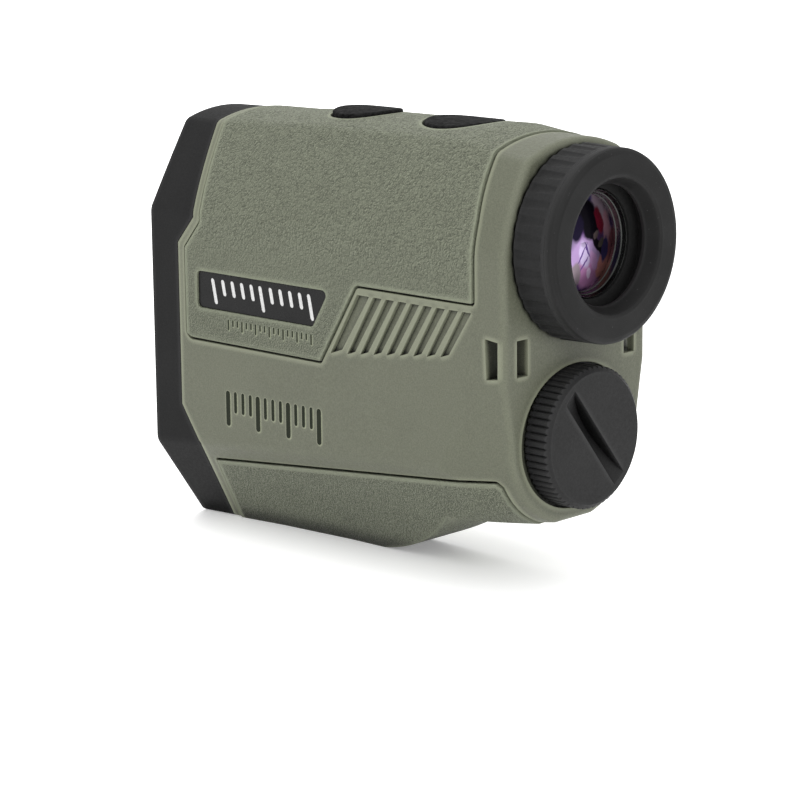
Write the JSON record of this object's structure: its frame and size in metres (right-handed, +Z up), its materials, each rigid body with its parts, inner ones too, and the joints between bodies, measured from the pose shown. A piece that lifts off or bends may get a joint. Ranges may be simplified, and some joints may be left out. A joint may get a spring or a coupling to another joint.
{
  "type": "laser rangefinder",
  "caption": "Handheld monocular laser rangefinder with a ribbed dioptre eyepiece, screw battery cap, two top keys and grained grip skins.",
  "frame": {"origin": "centre of the bounding box in X and Y, on the flat of the belly that the body stands on", "axes": "+Y out of the objective towards the target, +X to the user's right, +Z up towards the keys"},
  "size_m": [0.041, 0.1, 0.083],
  "materials": {
    "housing": "fine moulded olive green",
    "grip_skin": "leather-grained olive green",
    "bezel": "satin black",
    "badge": "gloss black",
    "eyepiece_rubber": "matt black",
    "ring_plastic": "matt black, ribbed",
    "cap_plastic": "satin black, knurled",
    "key_rubber": "matt black",
    "inner_plastic": "matt black",
    "lens_barrel": "black anodised",
    "glass": "coated",
    "prism_glass": "polished",
    "circuit_board": "solder resist green",
    "chip": "moulded epoxy",
    "polyimide": "amber film",
    "seal_rubber": "smooth",
    "brass": "turned",
    "nickel": "nickel plated",
    "steel_screw": "zinc plated",
    "diode_can": "plated can",
    "cell_jacket": "printed foil jacket, no lettering"
  },
  "bodies": {
    "housing": {"main_housing": "housing", "upper_grip_skin": "grip_skin", "lower_grip_skin": "grip_skin", "front_bezel": "bezel", "bezel_gasket": "seal_rubber", "badge_plate_right": "badge", "badge_plate_left": "badge", "optical_chassis": "inner_plastic", "objective_cell": "lens_barrel", "objective_lens": "glass", "objective_retainer": "lens_barrel", "emitter_tube": "inner_plastic", "emitter_lens": "glass", "emitter_retainer": "inner_plastic", "laser_diode": "diode_can", "laser_board": "circuit_board", "prism_front": "prism_glass", "prism_roof": "prism_glass", "prism_clamp": "nickel", "detector_board": "circuit_board", "detector_diode": "diode_can", "display_glass": "glass", "eyepiece_sleeve": "inner_plastic", "eyepiece_seal": "seal_rubber", "measure_key_seal": "seal_rubber", "mode_key_seal": "seal_rubber", "key_board": "circuit_board", "measure_switch": "chip", "mode_switch": "chip", "main_board": "circuit_board", "board_chips": "chip", "key_flex": "polyimide", "battery_tube": "inner_plastic", "battery": "cell_jacket", "front_contact": "nickel", "thread_ring": "brass", "chassis_screws": "steel_screw", "board_screws": "steel_screw"},
    "measure_key": {"measure_button": "key_rubber"},
    "mode_key": {"mode_button": "key_rubber"},
    "diopter": {"diopter_ring": "ring_plastic", "eyecup": "eyepiece_rubber"},
    "ocular": {"eyepiece_barrel": "inner_plastic", "eye_lens": "glass", "field_lens": "glass", "eye_lens_retainer": "lens_barrel"},
    "cap_carrier": {"cap_contact": "nickel"},
    "cap": {"battery_cap": "cap_plastic", "cap_seal": "seal_rubber"}
  },
  "joints": [
    {"name": "measure_press", "type": "slide", "parent": "housing", "child": "measure_key", "axis": [0, 0, -1], "range_m": [0, 0.0006], "stiffness_N_per_m": 2500, "springref_m": -0.0002},
    {"name": "mode_press", "type": "slide", "parent": "housing", "child": "mode_key", "axis": [0, 0, -1], "range_m": [0, 0.0006], "stiffness_N_per_m": 2500, "springref_m": -0.0002},
    {"name": "diopter_turn", "type": "hinge", "parent": "housing", "child": "diopter", "pos_m": [0, -0.044, 0.063], "axis": [0, 1, 0], "range_deg": [-150, 150]},
    {"name": "ocular_focus", "type": "slide", "parent": "housing", "child": "ocular", "axis": [0, -1, 0], "range_m": [-0.0008, 0.0008]},
    {"name": "cap_withdraw", "type": "slide", "parent": "housing", "child": "cap_carrier", "axis": [0, -1, 0], "range_m": [0, 0.0045]},
    {"name": "cap_unscrew", "type": "hinge", "parent": "cap_carrier", "child": "cap", "pos_m": [0, -0.0424, 0.0277], "axis": [0, -1, 0], "range_deg": [0, 1080]}
  ],
  "couplings": [
    {"joint": "diopter_turn", "follows": "ocular_focus", "rad_per_m": 3272.5},
    {"joint": "cap_unscrew", "follows": "cap_withdraw", "rad_per_m": 4188.8}
  ]
}
